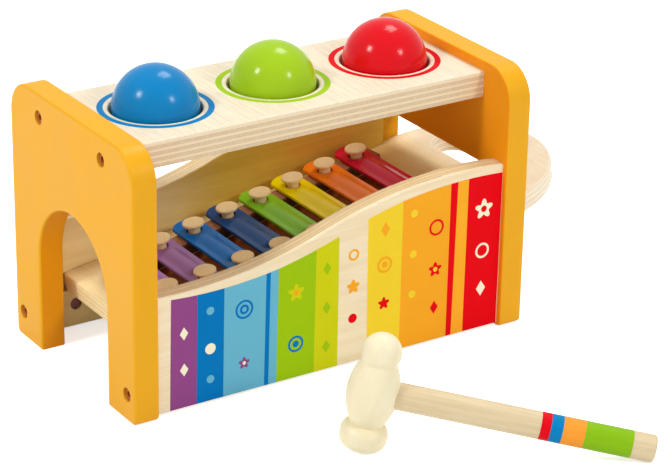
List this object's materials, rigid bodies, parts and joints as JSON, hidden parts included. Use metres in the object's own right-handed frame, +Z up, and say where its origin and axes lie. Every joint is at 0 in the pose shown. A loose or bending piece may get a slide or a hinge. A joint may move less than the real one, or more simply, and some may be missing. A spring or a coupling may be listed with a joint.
{
  "type": "peg pounding bench",
  "caption": "Wooden pounding bench: painted end panels, balls held by rubber rings in the top board, wave-topped walls, a sloping slide-out xylophone tray, and a turned mallet.",
  "frame": {"origin": "middle of the set's footprint on the floor, bench and mallet together", "axes": "+X along the bench towards the tray's handle, +Y from the front wall to the back wall, +Z up"},
  "size_m": [0.2902, 0.2946, 0.162],
  "materials": {
    "panel_paint": "satin amber paint over solid wood",
    "board_ply": "clear-lacquered birch plywood with printed rings",
    "wall_ply": "clear-lacquered birch plywood",
    "wall_print": "birch plywood with a striped print on its front",
    "tray_ply": "clear-lacquered birch plywood",
    "rail_wood": "plain beech",
    "peg_wood": "turned beech, clear lacquer",
    "dowel_wood": "plain beech",
    "ring_rubber": "matt rubber",
    "felt": "red-brown felt",
    "bolt_steel": "zinc-plated steel",
    "nut_steel": "dark burnished steel",
    "mallet_head_wood": "pale turned maple, satin lacquer",
    "mallet_handle_wood": "pale beech with four painted bands, satin lacquer",
    "ball_blue_paint": "gloss paint over solid wood",
    "ball_green_paint": "gloss paint over solid wood",
    "ball_red_paint": "gloss paint over solid wood",
    "key_lilac_paint": "gloss enamel on pressed steel",
    "key_purple_paint": "gloss enamel on pressed steel",
    "key_azure_paint": "gloss enamel on pressed steel",
    "key_blue_paint": "gloss enamel on pressed steel",
    "key_green_paint": "gloss enamel on pressed steel",
    "key_yellow_paint": "gloss enamel on pressed steel",
    "key_orange_paint": "gloss enamel on pressed steel",
    "key_red_paint": "gloss enamel on pressed steel"
  },
  "bodies": {
    "bench": {"end_panel_left": "panel_paint", "end_panel_right": "panel_paint", "top_board": "board_ply", "front_wall": "wall_print", "back_wall": "wall_ply", "ball_ring_left": "ring_rubber", "ball_ring_middle": "ring_rubber", "ball_ring_right": "ring_rubber", "bolts_left": "bolt_steel", "bolts_right": "bolt_steel", "barrel_nuts_left": "nut_steel", "barrel_nuts_right": "nut_steel", "dowels_left": "dowel_wood", "dowels_right": "dowel_wood"},
    "xylophone": {"tray_board": "tray_ply", "key_rail_front": "rail_wood", "key_rail_rear": "rail_wood", "felt_strip_front": "felt", "felt_strip_rear": "felt", "key_lilac": "key_lilac_paint", "key_purple": "key_purple_paint", "key_azure": "key_azure_paint", "key_blue": "key_blue_paint", "key_green": "key_green_paint", "key_yellow": "key_yellow_paint", "key_orange": "key_orange_paint", "key_red": "key_red_paint", "key_pegs_front": "peg_wood", "key_pegs_rear": "peg_wood"},
    "ball_blue": {"ball_blue": "ball_blue_paint"},
    "ball_green": {"ball_green": "ball_green_paint"},
    "ball_red": {"ball_red": "ball_red_paint"},
    "mallet": {"mallet_head": "mallet_head_wood", "mallet_handle": "mallet_handle_wood"}
  },
  "joints": [
    {"name": "tray_slide", "type": "slide", "parent": "bench", "child": "xylophone", "axis": [0.9871, 0, 0.1599], "range_m": [0, 0.222]},
    {"name": "ball_blue_drop", "type": "slide", "parent": "bench", "child": "ball_blue", "axis": [0, 0, 1], "range_m": [-0.0644, 0.03], "deforming": ["ball_ring_left"]},
    {"name": "ball_green_drop", "type": "slide", "parent": "bench", "child": "ball_green", "axis": [0, 0, 1], "range_m": [-0.0531, 0.03], "deforming": ["ball_ring_middle"]},
    {"name": "ball_red_drop", "type": "slide", "parent": "bench", "child": "ball_red", "axis": [0, 0, 1], "range_m": [-0.0419, 0.03], "deforming": ["ball_ring_right"]},
    {"name": "mallet_lift", "type": "slide", "parent": "bench", "child": "mallet", "axis": [0, 0, 1], "range_m": [0, 0.15]}
  ]
}
